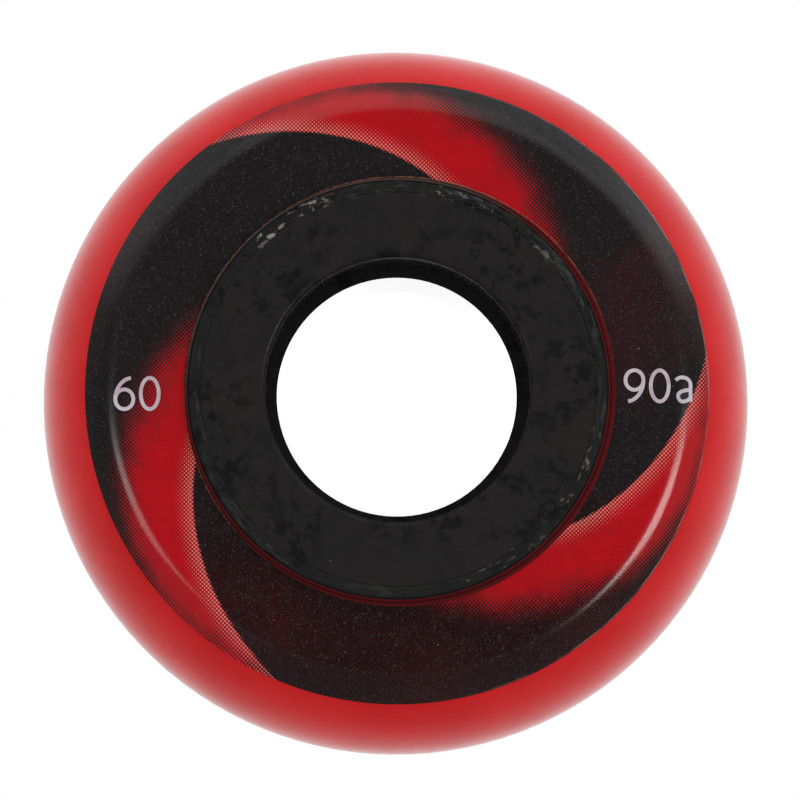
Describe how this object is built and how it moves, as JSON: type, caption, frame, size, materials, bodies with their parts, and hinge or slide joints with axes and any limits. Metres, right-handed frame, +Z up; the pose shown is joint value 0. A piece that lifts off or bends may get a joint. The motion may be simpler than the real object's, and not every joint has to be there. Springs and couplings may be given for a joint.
{
  "type": "inline skate wheel",
  "caption": "Red urethane aggressive inline skate wheel with a black nylon hub core and dark printed sidewalls.",
  "frame": {"origin": "centre of the wheel, on the axle line at the middle of its width", "axes": "+Y along the axle towards the back face, +Z up with the wheel standing on its tread; the pictured front face looks towards -Y"},
  "size_m": [0.06, 0.024, 0.06],
  "materials": {
    "urethane": "semi-gloss cast urethane",
    "nylon": "satin moulded nylon",
    "ink": "semi-gloss printing ink"
  },
  "bodies": {
    "root": {"tyre": "urethane", "hub_core": "nylon", "front_print": "ink", "back_print": "ink"}
  },
  "joints": []
}
